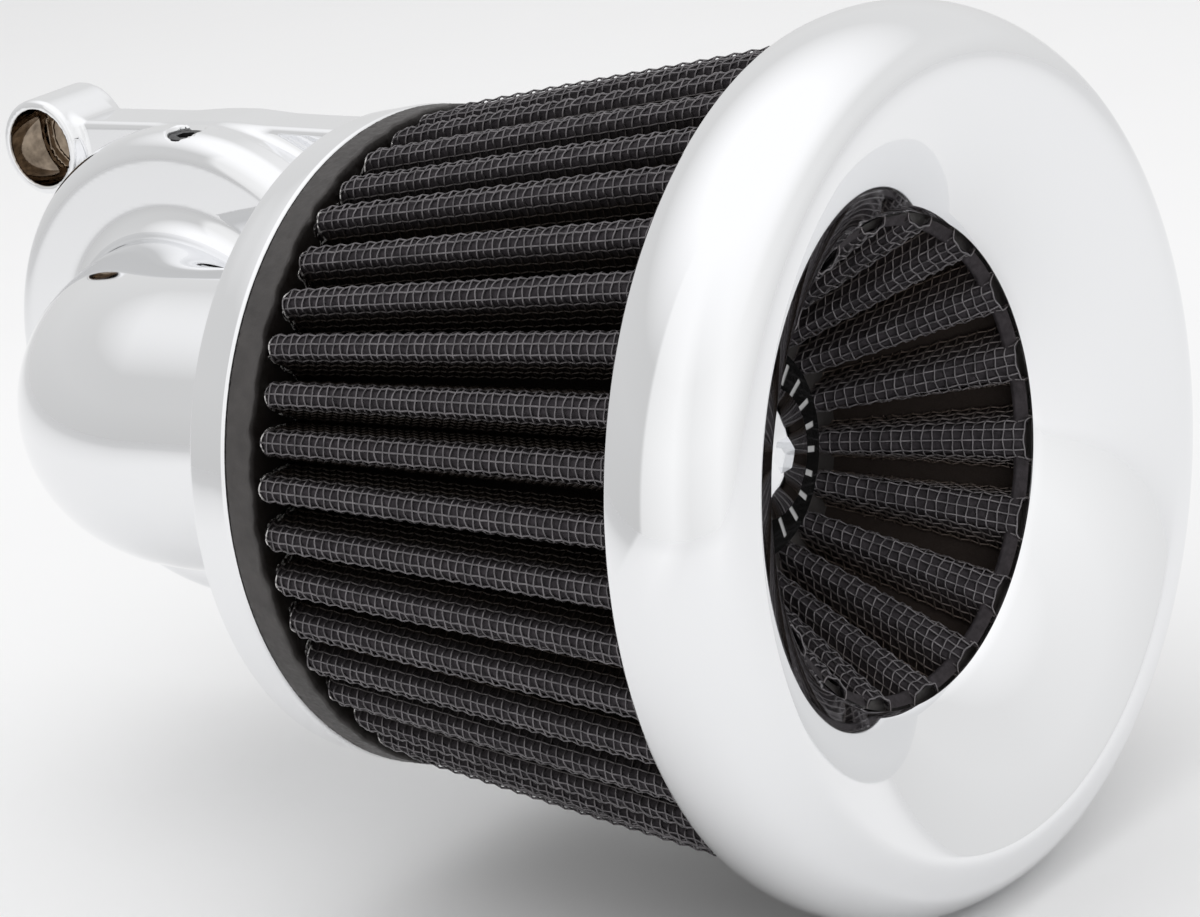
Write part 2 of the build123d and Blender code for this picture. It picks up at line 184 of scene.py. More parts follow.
def tubes(paths, ups, radius, sides=5):
    """Points and quads of round wires along paths (wires, points, 3) with surface normals ups."""
    along = np.gradient(paths, axis=1)
    along /= np.linalg.norm(along, axis=2, keepdims=True)
    across = np.cross(along, ups)
    across /= np.linalg.norm(across, axis=2, keepdims=True)
    out = np.cross(across, along)
    turn = np.arange(sides) * 2 * pi / sides
    ring = (paths[:, :, None] + radius * (across[:, :, None] * np.cos(turn)[None, None, :, None]
                                          + out[:, :, None] * np.sin(turn)[None, None, :, None]))
    wires, count = paths.shape[:2]
    quads = grid_quads(count, sides)
    quads = (quads[None] + (np.arange(wires) * count * sides)[:, None, None]).reshape(-1, 4)
    return ring.reshape(-1, 3), quads


def joined(parts):
    """Several (points, quads) as one."""
    start = 0
    all_points = []
    all_quads = []
    for points, quads in parts:
        all_points.append(points)
        all_quads.append(quads + start)
        start += len(points)
    return np.concatenate(all_points), np.concatenate(all_quads)


# ---- materials -------------------------------------------------------------------------

def material(name, color, metallic=0.0, roughness=0.5, **sockets):
    made = bpy.data.materials.new(name)
    made.use_nodes = True
    shader = made.node_tree.nodes["Principled BSDF"]
    shader.inputs["Base Color"].default_value = (*color, 1)
    shader.inputs["Metallic"].default_value = metallic
    shader.inputs["Roughness"].default_value = roughness
    for socket, value in sockets.items():
        shader.inputs[socket.replace("_", " ")].default_value = value
    return made


def wire_up(made, build):
    """Runs build(nodes, links, shader, coordinates) on a material's node tree."""
    tree = made.node_tree
    coordinates = tree.nodes.new("ShaderNodeTexCoord")
    build(tree.nodes, tree.links, tree.nodes["Principled BSDF"], coordinates.outputs["Object"])
    return made


def noise(nodes, links, where, scale, detail=3.0, rough=0.55):
    made = nodes.new("ShaderNodeTexNoise")
    made.inputs["Scale"].default_value = scale
    made.inputs["Detail"].default_value = detail
    made.inputs["Roughness"].default_value = rough
    links.new(where, made.inputs["Vector"])
    return made.outputs["Fac"]


def ramp(nodes, links, value, stops):
    """A colour ramp; stops are (place, grey or colour)."""
    made = nodes.new("ShaderNodeValToRGB")
    while len(made.color_ramp.elements) < len(stops):
        made.color_ramp.elements.new(0.5)
    for element, (place, colour) in zip(made.color_ramp.elements, stops):
        element.position = place
        element.color = (colour, colour, colour, 1) if np.isscalar(colour) else (*colour, 1)
    links.new(value, made.inputs["Fac"])
    return made.outputs["Color"]


def bump(nodes, links, shader, height, distance):
    made = nodes.new("ShaderNodeBump")
    made.inputs["Distance"].default_value = distance
    links.new(height, made.inputs["Height"])
    links.new(made.outputs["Normal"], shader.inputs["Normal"])


def arithmetic(nodes, links, operation, first, second):
    made = nodes.new("ShaderNodeMath")
    made.operation = operation
    links.new(first, made.inputs[0])
    links.new(second, made.inputs[1])
    return made.outputs["Value"]


def vector_step(nodes, links, operation, source, by=None):
    """A vector operation with a fixed second vector, or the length of the source."""
    made = nodes.new("ShaderNodeVectorMath")
    made.operation = operation
    links.new(source, made.inputs[0])
    if by is not None:
        made.inputs[1].default_value = by
    return made.outputs["Value" if operation == "LENGTH" else "Vector"]


def separated(nodes, links, source):
    made = nodes.new("ShaderNodeSeparateXYZ")
    links.new(source, made.inputs["Vector"])
    return made.outputs


def rescaled(nodes, links, value, source, target=(0.0, 1.0), clamp=True):
    """The value moved from one range to another."""
    made = nodes.new("ShaderNodeMapRange")
    made.clamp = clamp
    for socket, number in zip(("From Min", "From Max", "To Min", "To Max"), (*source, *target)):
        made.inputs[socket].default_value = number
    links.new(value, made.inputs["Value"])
    return made.outputs["Result"]


def mixed(nodes, links, factor, first, second):
    """A colour that goes from first to second; each of the two is an output or a colour."""
    made = nodes.new("ShaderNodeMix")
    made.data_type = "RGBA"
    links.new(factor, made.inputs["Factor"])
    # inputs 6 and 7 of this node take its two colours, and output 2 gives the mixed one
    for socket, colour in ((made.inputs[6], first), (made.inputs[7], second)):
        if isinstance(colour, tuple):
            socket.default_value = (*colour, 1)
        else:
            links.new(colour, socket)
    return made.outputs[2]


def polished(nodes, links, shader, where):
    # faint polishing haze in the plating, and its barely visible waviness
    haze = noise(nodes, links, where, 55, 4)
    links.new(ramp(nodes, links, haze, [(0.3, 0.028), (0.75, 0.065)]), shader.inputs["Roughness"])
    bump(nodes, links, shader, noise(nodes, links, where, 28, 1), 0.00006)


def satin(low, high, scale, depth):
    def build(nodes, links, shader, where):
        grain = noise(nodes, links, where, scale, 5)
        links.new(ramp(nodes, links, grain, [(0.3, low), (0.7, high)]), shader.inputs["Roughness"])
        bump(nodes, links, shader, grain, depth)
    return build


def mottled(dark, light, scale, low, high, depth):
    """Colour and roughness that vary with the same grain."""
    def build(nodes, links, shader, where):
        grain = noise(nodes, links, where, scale, 6, 0.65)
        links.new(ramp(nodes, links, grain, [(0.3, dark), (0.7, light)]), shader.inputs["Base Color"])
        fine = noise(nodes, links, where, scale * 4, 3)
        links.new(ramp(nodes, links, fine, [(0.3, low), (0.7, high)]), shader.inputs["Roughness"])
        bump(nodes, links, shader, fine, depth)
    return build


chrome = wire_up(material("chrome_plate", CHROME, 1.0, 0.04), polished)
bell_chrome = wire_up(material("bell_chrome_plate", CHROME, 1.0, 0.04), polished)
steel = wire_up(material("bright_steel", (0.62, 0.62, 0.62), 1.0, 0.3), satin(0.22, 0.38, 900, 1e-5))
alloy = wire_up(material("turned_alloy", (0.78, 0.78, 0.79), 1.0, 0.3), satin(0.24, 0.36, 250, 2e-6))
black_screws = wire_up(material("black_oxide", (0.03, 0.03, 0.032), 0.6, 0.4),
                       satin(0.32, 0.5, 1200, 1e-5))
coated_wire = wire_up(material("coated_wire", (0.12, 0.115, 0.12), 0.3, 0.35),
                      mottled((0.09, 0.085, 0.09), (0.16, 0.15, 0.16), 350, 0.24, 0.42, 2e-5))
cotton = wire_up(material("oiled_cotton", (0.02, 0.018, 0.017), 0.0, 0.75, Specular_IOR_Level=0.15),
                 mottled((0.03, 0.026, 0.026), (0.06, 0.052, 0.056), 700, 0.55, 0.85, 8e-5))
urethane = wire_up(material("urethane", (0.05, 0.045, 0.042), 0.0, 0.5),
                   mottled((0.030, 0.027, 0.026), (0.055, 0.05, 0.048), 260, 0.42, 0.62, 1e-4))
rubber = wire_up(material("seal_rubber", (0.015, 0.015, 0.015), 0.0, 0.5),
                 mottled((0.012, 0.012, 0.012), (0.025, 0.025, 0.025), 500, 0.4, 0.6, 2e-5))
sheet = wire_up(material("gasket_sheet", (0.1, 0.1, 0.1), 0.0, 0.8),
                mottled((0.06, 0.06, 0.06), (0.14, 0.14, 0.14), 900, 0.7, 0.9, 4e-5))


# near white of the wires' cut ends: uncoated metal, and painted highlights
TIP_GLINT = (0.9, 0.88, 0.86)


def depth_shaded(ends, crown_r, inward, low, high, shade_colour, scale, depth_mm, rough, height, bright_tips=None):
    """Painted shade: colour that darkens with the depth below the pleats' crowns, standing in for the
    shade deep in the folds.

    The last argument gives the two x between which the wires' cut ends are painted near white in patches:
    uncoated metal at the cut, and painted highlights.
    """
    def build(nodes, links, shader, where):
        x = separated(nodes, links, where)["X"]
        crown = rescaled(nodes, links, x, [v * MM for v in ends], [v * MM for v in crown_r], clamp=False)
        off_axis = vector_step(nodes, links, "SUBTRACT", where, (0, AXIS_Y * MM, 0))
        across = vector_step(nodes, links, "MULTIPLY", off_axis, (0, 1, 1))
        radius = vector_step(nodes, links, "LENGTH", across)
        outer_first = (radius, crown) if inward else (crown, radius)
        below = arithmetic(nodes, links, "SUBTRACT", *outer_first)
        share = rescaled(nodes, links, below, (0.5 * MM, depth_mm * MM))
        grain = noise(nodes, links, where, scale, 6, 0.65)
        colour = mixed(nodes, links, share, ramp(nodes, links, grain, [(0.3, low), (0.7, high)]), shade_colour)
        # painted highlights: near the base cap the wires' cut ends turn near white in patches
        if bright_tips:
            near_end = rescaled(nodes, links, x, [v * MM for v in bright_tips], (1.0, 0.0))
            patch = ramp(nodes, links, noise(nodes, links, where, 900, 1), [(0.5, 0.0), (0.58, 1.0)])
            glinting = arithmetic(nodes, links, "MULTIPLY", near_end, patch)
            colour = mixed(nodes, links, glinting, colour, TIP_GLINT)
        links.new(colour, shader.inputs["Base Color"])
        fine = noise(nodes, links, where, scale * 4, 3)
        links.new(ramp(nodes, links, fine, [(0.3, rough[0]), (0.7, rough[1])]), shader.inputs["Roughness"])
        bump(nodes, links, shader, fine, height)
    return build


def pleat_finishes(name, cone, inward, shade_depth, shade_level, bright_tips=None):
    """The wire and the cotton of one cone of pleats, their colours darkened by painted shade deep in the
    folds.
    """
    # the colours at the bottom of the folds, where the painted shade is darkest
    shaded_wire = tuple(shade_level * v for v in (0.15, 0.115, 0.095))
    shaded_felt = tuple(shade_level * v for v in (0.030, 0.020, 0.015))
    wire = depth_shaded(cone.ends, cone.crown_r, inward, (0.075, 0.07, 0.074), (0.20, 0.187, 0.195),
                  shaded_wire, 350, shade_depth, (0.24, 0.40), 2e-5, bright_tips)
    felt = depth_shaded(cone.ends, cone.crown_r, inward, (0.018, 0.016, 0.018), (0.048, 0.042, 0.047),
                  shaded_felt, 700, 1.3 * shade_depth, (0.55, 0.85), 8e-5)
    coated = material(name + "_wire", (0.3, 0.3, 0.3), 0.6, 0.3)
    oiled = material(name + "_cotton", (0.05, 0.05, 0.05), 0.0, 0.75, Specular_IOR_Level=0.15)
    return wire_up(coated, wire), wire_up(oiled, felt)


def engraved_plate(nodes, links, shader, where):
    # bare metal shows in the engraved marks, which lie below the plate's front face
    x = separated(nodes, links, where)["X"]
    face_x = hub_high[0]
    front = rescaled(nodes, links, x, ((face_x - 0.24) * MM, (face_x - 0.12) * MM))
    back = rescaled(nodes, links, x, ((face_x - 0.5) * MM, (face_x - 0.4) * MM), (1.0, 0.0))
    plain = arithmetic(nodes, links, "MAXIMUM", front, back)
    tint = ramp(nodes, links, plain, [(0.3, 0.55), (0.7, 0.006)])
    links.new(tint, shader.inputs["Base Color"])
    fine = noise(nodes, links, where, 300, 3)
    links.new(ramp(nodes, links, fine, [(0.3, 0.05), (0.8, 0.12)]), shader.inputs["Roughness"])


gloss_black = wire_up(material("gloss_black", (0.006, 0.006, 0.006), 0.0, 0.08), engraved_plate)
finish_of = {"polished_head": chrome, "bell_chrome": bell_chrome, "elbow_chrome": chrome,
             "seal_rubber": rubber, "cap_urethane": urethane, "coated_wire": coated_wire,
             "filter_cotton": cotton, "hub_gloss_black": gloss_black, "bright_steel": steel,
             "dark_screws": black_screws, "gasket_sheet": sheet, "machined_alloy": alloy}
for entry in frame["record"]["subparts"]:
    node = frame["nodes"][entry["node"]]
    node.data.materials.clear()
    node.data.materials.append(finish_of[entry["material_slot"]])


# ---- bell ------------------------------------------------------------------------------
BELL_CENTRE_X = 200.65
BELL_CENTRE_R = 63.5
BELL_OUTER_ROLL = 21.2
BELL_WALL = 2.4
BELL_BACK = -22.5                                   # where the outer band starts, in degrees
BELL_ARCS = [(40, BELL_OUTER_ROLL), (112, 8.0), (135.4, 69.7), (150, 10.0)]     # end angle, radius
BELL_STEPS = (44, 46, 60, 20)                       # points along each arc
EDGE_INSET = 0.3                                    # rounds the two free edges of the shell


def bell_point(angle, inset):
    """Section of the bell, from its outer band (0) over the rim (90) down to the throat."""
    turn = radians(BELL_BACK)
    x = BELL_CENTRE_X + (BELL_OUTER_ROLL - inset) * sin(turn)
    r = BELL_CENTRE_R + (BELL_OUTER_ROLL - inset) * cos(turn)
    for end, radius in BELL_ARCS:
        last = radians(min(angle, end))
        x += (radius - inset) * (sin(last) - sin(turn))
        r += (radius - inset) * (cos(last) - cos(turn))
        turn = last
        if angle <= end:
            break
    return x, r


lip_turn = BELL_ARCS[-1][0]
turns = [BELL_BACK] + [arc_end for arc_end, _ in BELL_ARCS]
turns[-1] = lip_turn - 2                            # the rounded lip takes up the last two degrees
outer_turns = [BELL_BACK]
for start, stop, steps in zip(turns, turns[1:], BELL_STEPS):
    outer_turns += list(np.linspace(start, stop, steps)[1:])
outside = [bell_point(a, 0) for a in outer_turns]
lip = [bell_point(lip_turn, inset) for inset in (EDGE_INSET, BELL_WALL / 2, BELL_WALL - EDGE_INSET)]
inside = [bell_point(a, BELL_WALL) for a in outer_turns[::-2]]
back = [bell_point(BELL_BACK - 0.9, BELL_WALL - EDGE_INSET), bell_point(BELL_BACK - 1.4, BELL_WALL / 2),
        bell_point(BELL_BACK - 0.9, EDGE_INSET)]
points, quads = revolve(outside + lip + inside + back, BELL_SEGMENTS)
new_piece("bell_shell", points, quads, "bell", bell_chrome, ["bell_trumpet"])

# ---- mount ring and base cap -----------------------------------------------------------
DUCT_R = 25.5
CUP_R = 61.6                # the ring's recess, which the base cap sits in
CUP_FLOOR = 3.5
RING_BACK_R = 64.1
CAP_BORE_R = 45.0
CAP_GAP = 0.3               # between the cap and the ring
cup_x = ring_low[0] + CUP_FLOOR
outline = rounded([(ring_low[0], DUCT_R), (ring_low[0], RING_BACK_R), (ring_high[0], ring_high[2]),
                   (ring_high[0], CUP_R), (cup_x, CUP_R), (cup_x, DUCT_R)],
                  [0.3, 1.3, 0.8, 0.4, 0.6, 0.3])
points, quads = revolve(densify(outline, 3.0), 240)
new_piece("mount_ring", points, quads, "elbow", chrome, ["filter_mount_ring"])

cap_r = base_high[2]
step_x = ring_high[0] + CAP_GAP
outline = rounded([(base_low[0], CAP_BORE_R), (base_low[0], CUP_R - CAP_GAP), (step_x, CUP_R - CAP_GAP),
                   (step_x, cap_r), (base_high[0], cap_r), (base_high[0], CAP_BORE_R)],
                  [0.3, 0.3, 0.3, 0.4, 0.6, 0.3])
points, quads = revolve(densify(outline, 0.9), CAP_SEGMENTS)
# the cast skin of the cap: uneven front edge, small pits and swells
grid = points.reshape(CAP_SEGMENTS, -1, 3)
angle = (np.arange(CAP_SEGMENTS) * 2 * pi / CAP_SEGMENTS)[:, None]
waves = ((PLEATS, 0.22, 0.4), (2 * PLEATS, 0.1, 1.0), (7, 0.12, 2.0), (19, 0.1, 0.7), (61, 0.08, 2.2))
uneven = sum(swing * np.sin(count * angle + phase) for count, swing, phase in waves)
near_front = np.clip((grid[:, :, 0] - base_high[0] + 2.5) / 2.5, 0, 1)
grid[:, :, 0] += near_front * (uneven - 0.35)
radial = np.hypot(grid[:, :, 1] - AXIS_Y, grid[:, :, 2])
pits = rng.random(radial.shape)
dent = np.where(pits > 0.985, -0.16, 0.0) + 0.035 * rng.standard_normal(radial.shape)
dent *= radial > CUP_R + 1.4        # only on the band that shows
scale = (radial + dent) / radial
grid[:, :, 1] = AXIS_Y + (grid[:, :, 1] - AXIS_Y) * scale
grid[:, :, 2] *= scale
base_ends = (base_low[0], base_high[0])
# painted shade: the cap's colour darkens inwards from its outer radius, over its front face and its step
# into the ring
potting = depth_shaded(base_ends, (cap_r, cap_r), False, (0.030, 0.027, 0.026), (0.055, 0.05, 0.048),
                 (0.006, 0.004, 0.003), 260, 1.8, (0.42, 0.62), 1e-4)
base_urethane = wire_up(material("base_urethane", (0.05, 0.045, 0.042), 0.0, 0.5), potting)
new_piece("base_cap_casting", grid.reshape(-1, 3), quads, "filter_element",
          base_urethane, ["base_end_cap"])


# ---- pleats ----------------------------------------------------------------------------

def pleat_outline(pitch, crown_half, crown_rise, valley_half, depth, step):
    """One pleat's section from valley to valley: (tangential, radial below crown), evenly spaced."""
    t = np.linspace(0, pi / 2, 24)
    crown = np.stack([crown_half * np.sin(t), -crown_rise * (1 - np.cos(t))], 1)
    end = np.array([pitch / 2 - valley_half, -depth + valley_half])
    flank = crown[-1] + (end - crown[-1]) * np.linspace(0, 1, 40)[1:, None]
    t = np.linspace(0, pi / 2, 8)[1:]
    valley = np.stack([pitch / 2 - valley_half * np.cos(t), -depth + valley_half * (1 - np.sin(t))], 1)
    half = np.concatenate([crown, flank, valley])
    length = np.concatenate([[0], np.cumsum(np.linalg.norm(np.diff(half, axis=0), axis=1))])
    count = int(round(length[-1] / step))
    at = np.linspace(0, length[-1], count + 1)
    half = np.stack([np.interp(at, length, half[:, i]) for i in (0, 1)], 1)
    return np.concatenate([half[:0:-1] * (-1, 1), half])


class Pleats:
    """A cone of pleats between two ends, with its surface and its woven wire screen."""

    def __init__(self, count, ends, crown_r, crown_half, rise, valley_half, depth, inward, turn=0.0):
        self.count = count
        self.ends = ends
        self.crown_r = crown_r
        self.crown_half = crown_half
        self.rise = rise
        self.valley_half = valley_half
        self.depth = depth
        self.way = -1.0 if inward else 1.0
        self.turn = turn
        self.tuck_x = None
        self.mouth = None
        self.wobble = rng.standard_normal((count, 4))

    def place(self, share, across, down, pleat, flatten=False):
        """Points of the pleated surface. share runs 0 to 1 along the cone."""
        x = self.ends[0] + share * (self.ends[1] - self.ends[0])
        crown = self.crown_r[0] + share * (self.crown_r[1] - self.crown_r[0])
        w = self.wobble[pleat]
        sway = 0.16 * w[..., 0] + 0.18 * w[..., 1] * np.sin(2.2 * share + w[..., 2])
        radius = crown + self.way * (down + 0.10 * w[..., 3] + 0.08 * np.sin(9 * share + 4 * w[..., 2]))
        if self.tuck_x is not None:
            near = np.clip((self.tuck_x + TUCK + 0.35 * w[..., 1] - x) / TUCK, 0, 1)
            radius = radius - self.way * TUCK * (1 - np.sqrt(1 - near * near))
        if flatten and self.mouth is not None:
            mouth_x, mouth_r = self.mouth
            radius = np.where(x > mouth_x[0], np.minimum(radius, np.interp(x, mouth_x, mouth_r)), radius)
        angle = self.turn + (pleat * 2 * pi / self.count) + (across + sway) / (radius + 1e-9)
        return on_axis(x, radius, angle)

    def section(self, share):
        pitch = 2 * pi * (self.crown_r[0] + share * (self.crown_r[1] - self.crown_r[0])) / self.count
        crown_half = self.crown_half[0] + share * (self.crown_half[1] - self.crown_half[0])
        return pleat_outline(pitch, crown_half, self.rise, self.valley_half, self.depth, SECTION_STEP)

    def sheet(self, offset, rows, columns):
        """The folded sheet, offset along its own normal (positive is outwards)."""
        near, far = 0.07, 0.94          # closer rows towards both ends, where the folds round off
        shares = np.concatenate([np.linspace(0, near, 14)[:-1], np.linspace(near, far, rows)[:-1],
                                 np.linspace(far, 1, 12)])
        rows = len(shares)
        sections = []
        for share in shares:
            outline = self.section(share)
            normal = np.gradient(outline, axis=0)
            normal = np.stack([-normal[:, 1], normal[:, 0]], 1)
            normal /= np.linalg.norm(normal, axis=1, keepdims=True)
            outline = outline + offset * normal
            pick = np.linspace(0, len(outline) - 1, columns).astype(int)
            sections.append(outline[pick])
        sections = np.array(sections)
        pleat = np.arange(self.count)
        surface = self.place(shares[None, :, None], sections[None, :, :, 0], sections[None, :, :, 1],
                             pleat[:, None, None], flatten=True)
        surface = surface.transpose(1, 0, 2, 3).reshape(rows, self.count * columns, 3)
        quads = grid_quads(rows, self.count * columns)
        return surface.reshape(-1, 3), (quads if self.way > 0 else quads[:, ::-1])

    def wires(self):
        """The woven screen: wires along each pleat and wires across it, each over and under."""
        length = abs(self.ends[1] - self.ends[0])
        slope = (self.crown_r[1] - self.crown_r[0]) / length
        slant = length * np.hypot(1, slope)
        rows = int(round(slant / WIRE_PITCH))
        parts = []
        pleat = np.arange(self.count)
        # along the pleats
        count = rows * STEPS_PER_PITCH + 1
        share = np.linspace(0, 1, count)
        sections = [self.section(s) for s in share]
        for lane in range(-WIRE_LANES, WIRE_LANES + 1):
            flat = []
            ups = []
            for k, outline in enumerate(sections):
                middle = (len(outline) - 1) / 2
                spot = middle + lane * WIRE_PITCH / SECTION_STEP
                if spot < 1 or spot > len(outline) - 2:
                    break
                i = int(round(spot))
                step = outline[i + 1] - outline[i - 1]
                normal = np.array([-step[1], step[0]]) / np.linalg.norm(step)
                weave = WEAVE * np.cos(pi * k / STEPS_PER_PITCH) * (1 if lane % 2 else -1)
                flat.append(outline[i] + normal * weave)
                ups.append(normal)
            flat = np.array(flat)
            ups = np.array(ups)
            if len(flat) < 3:
                continue
            path = self.place(share[None, :len(flat)], flat[None, :, 0], flat[None, :, 1],
                              pleat[:, None])
            tip = self.place(share[None, :len(flat)], flat[None, :, 0] + ups[None, :, 0],
                             flat[None, :, 1] + ups[None, :, 1], pleat[:, None])
            parts.append(tubes(path, tip - path, WIRE_R))
        # across the pleats
        for row in range(rows + 1):
            share_here = row / rows
            outline = self.section(share_here)
            middle = (len(outline) - 1) / 2
            span = min(WIRE_LANES * WIRE_PITCH + 0.8, (len(outline) - 3) / 2 * SECTION_STEP)
            steps = int(span / (WIRE_PITCH / 4))
            at = np.arange(-steps, steps + 1) * WIRE_PITCH / 4
            spots = np.round(middle + at / SECTION_STEP).astype(int)
            spots = np.clip(spots, 1, len(outline) - 2)
            step = outline[spots + 1] - outline[spots - 1]
            normal = np.stack([-step[:, 1], step[:, 0]], 1) / np.linalg.norm(step, axis=1)[:, None]
            weave = WEAVE * np.cos(pi * at / WIRE_PITCH) * (1 if row % 2 else -1)
            flat = outline[spots] + normal * weave[:, None]
            share_row = np.full(len(flat), share_here)
            path = self.place(share_row[None], flat[None, :, 0], flat[None, :, 1], pleat[:, None])
            tip = self.place(share_row[None], flat[None, :, 0] + normal[None, :, 0],
                             flat[None, :, 1] + normal[None, :, 1], pleat[:, None])
            parts.append(tubes(path, tip - path, WIRE_R))
        return joined(parts)


SCREEN_SKIN = 0.35          # the screen lies this far inside the CAD's crowns
crown_slope = 0.15
front_crown_r = media_high[2] - SCREEN_SKIN
back_crown_r = media_high[2] - crown_slope * (media_high[0] - media_low[0]) - SCREEN_SKIN
outer = Pleats(PLEATS, (media_low[0] - 0.3, media_high[0]), (back_crown_r, front_crown_r),
               crown_half=(2.25, 2.65), rise=1.5, valley_half=0.7, depth=13.0, inward=False)
outer.tuck_x = base_high[0] + 0.3
wire, felt = pleat_finishes("outer", outer, False, 3.8, 0.2,
                            (base_high[0] + 1.2, base_high[0] + 2.6))
points, quads = outer.sheet(CLOTH_OFFSET, rows=50, columns=44)
new_piece("outer_media_folds", points, quads, "filter_element", felt,
          ["outer_pleated_media", "outer_support_screen"])
points, quads = outer.wires()
new_piece("outer_screen_wires", points, quads, "filter_element", wire,
          ["outer_wire_screen"])

bore_x = inner_high[0]
lip_x = bore_x + 2.3
inner = Pleats(INNER_PLEATS, (inner_low[0], lip_x), (21.0, 43.2), crown_half=(1.9, 3.5), rise=1.2,
               valley_half=0.8, depth=8.5, inward=True, turn=radians(8))
# the valleys flatten over the front cap's bore, then open out to the bell's lip
inner.mouth = ((bore_x - 0.2, bore_x + 0.8, lip_x), (43.3, 43.3, 45.3))
wire, felt = pleat_finishes("inner", inner, True, 7.5, 0.75)
points, quads = inner.sheet(CLOTH_OFFSET, rows=24, columns=60)
new_piece("inner_media_folds", points, quads, "filter_element", felt,
          ["inner_pleated_media", "inner_support_screen"])
points, quads = inner.wires()
new_piece("inner_screen_wires", points, quads, "filter_element", wire,
          ["inner_wire_screen"])


# ---- elbow casting, as a distance field ------------------------------------------------

def round_union(a, b, r):
    return np.maximum(r, np.minimum(a, b)) - np.hypot(np.maximum(r - a, 0), np.maximum(r - b, 0))


def round_cut(a, b, r):
    """Intersection of a and b with a rounded edge."""
    return np.minimum(-r, np.maximum(a, b)) + np.hypot(np.maximum(r + a, 0), np.maximum(r + b, 0))


def tapered_web(u, v, start, end, start_r, end_r):
    """Distance to the hull of two circles in a plane."""
    reach = np.hypot(end[0] - start[0], end[1] - start[1])
    along = ((end[0] - start[0]) / reach, (end[1] - start[1]) / reach)
    p = (u - start[0]) * along[0] + (v - start[1]) * along[1]
    q = np.abs(-(u - start[0]) * along[1] + (v - start[1]) * along[0])
    lean = (start_r - end_r) / reach
    side = np.sqrt(1 - lean * lean)
    k = p * side - q * lean
    return np.where(k < 0, np.hypot(p, q) - start_r,
                    np.where(k > reach * side, np.hypot(p - reach, q) - end_r,
                             q * side + p * lean - start_r))


TUBE_R = 31.25
TUBE_BACK = -12.0
BEND_R = 32.0
DISC_R = 52.5
DISC_FRONT = -31.0
RIM_BACK = -20.5
WEB_ROOT = (5.0, 28.5)      # centre of the webs' wide ends, off the throttle axis and up
WEB_ROOT_R = 22.0
WEB_TIPS = (5.6, 9.0)
WEB_Y, WEB_HALF = -7.5, 6.5
BOSS_CIRCLE = 66.0
BOSSES = [(BOSS_CIRCLE * cos(radians(a)), BOSS_CIRCLE * sin(radians(a))) for a in (136.5, 37.0)]
BOSS_R = 10.75
BOSS_Y, BOSS_HALF = -8.0, 9.0
BOSS_BOLT_R = 6.6
RECESS_R = 8.6
RECESS_FLOOR = -5.0
GROOVE_R, GROOVE_HALF, GROOVE_DEPTH = 8.6, 0.9, 0.8
SPIGOT_R, SPIGOT_END = 33.05, -28.1
FLANGE_R, FLANGE_END = 45.2, -5.8
BOLT_CIRCLE = 38.1
BOLT_ANGLES = (90.0, 210.0, 330.0)
BOLT_HEAD_R, BOLT_HEAD_END = 5.6, -12.8
SET_SCREW_ANGLES = (86.0, 206.0, 326.0)
SET_SCREW_Y = -24.5
SET_SCREW_R = 4.05


def centre_line(x, y, z):
    """Distance from the elbow's centre line."""
    bend_y = AXIS_Y + BEND_R
    on_bend = (x < BEND_R) & (y < bend_y)
    flat = np.where(on_bend, np.abs(np.hypot(x - BEND_R, y - bend_y) - BEND_R),
                    np.minimum(np.where(y >= bend_y, np.abs(x), 1e3),
                               np.where(x >= BEND_R, np.abs(y - AXIS_Y), 1e3)))
    return np.hypot(flat, z)


def casting(points):
    x, y, z = points[..., 0], points[..., 1], points[..., 2]
    from_axis = np.hypot(x, z)
    line = centre_line(x, y, z)
    tube = np.maximum(line - TUBE_R, y - TUBE_BACK)
    tube = round_cut(tube, x - casting_high[0], 0.5)
    rim = round_cut(from_axis - DISC_R, DISC_FRONT - y, 6.0)
    rim = round_cut(rim, y - RIM_BACK, 0.9)
    body = round_cut(round_cut(from_axis - (DISC_R - 2), y, 0.8), DISC_FRONT + 4 - y, 0.8)
    solid = round_union(rim, body, 0.8)
    for (cx, cz), tip, side in zip(BOSSES, WEB_TIPS, (-1, 1)):
        web = tapered_web(x, z, (side * WEB_ROOT[0], WEB_ROOT[1]), (cx, cz), WEB_ROOT_R, tip)
        web = round_cut(web, np.abs(y - WEB_Y) - WEB_HALF, 1.6)
        solid = round_union(solid, web, 2.0)
        boss = round_cut(np.hypot(x - cx, z - cz) - BOSS_R, np.abs(y - BOSS_Y) - BOSS_HALF, 1.3)
        solid = round_union(solid, boss, 2.4)
    solid = round_union(solid, tube, 6.5)
    for cx, cz in BOSSES:
        off = np.hypot(x - cx, z - cz)
        solid = round_cut(solid, -np.maximum(off - RECESS_R, y - RECESS_FLOOR), 0.5)
        solid = round_cut(solid, -(off - BOSS_BOLT_R), 0.4)
        groove = np.maximum(np.abs(off - GROOVE_R) - GROOVE_HALF, -GROOVE_DEPTH - y)
        solid = np.maximum(solid, -groove)
    solid = round_cut(solid, -(line - DUCT_R), 0.5)
    solid = np.maximum(solid, -np.maximum(from_axis - SPIGOT_R, SPIGOT_END - y))
    solid = round_cut(solid, -np.maximum(from_axis - FLANGE_R, FLANGE_END - y), 0.4)
    for angle in BOLT_ANGLES:
        off = np.hypot(x - BOLT_CIRCLE * cos(radians(angle)), z - BOLT_CIRCLE * sin(radians(angle)))
        solid = np.maximum(solid, -np.maximum(off - BOLT_HEAD_R, BOLT_HEAD_END - y))
    for angle in SET_SCREW_ANGLES:
        way = (cos(radians(angle)), sin(radians(angle)))
        out = x * way[0] + z * way[1]
        off = np.hypot(y - SET_SCREW_Y, -x * way[1] + z * way[0])
        hole = np.maximum(off - SET_SCREW_R, 30 - out)
        solid = round_cut(solid, -hole, 0.7)
    return solid


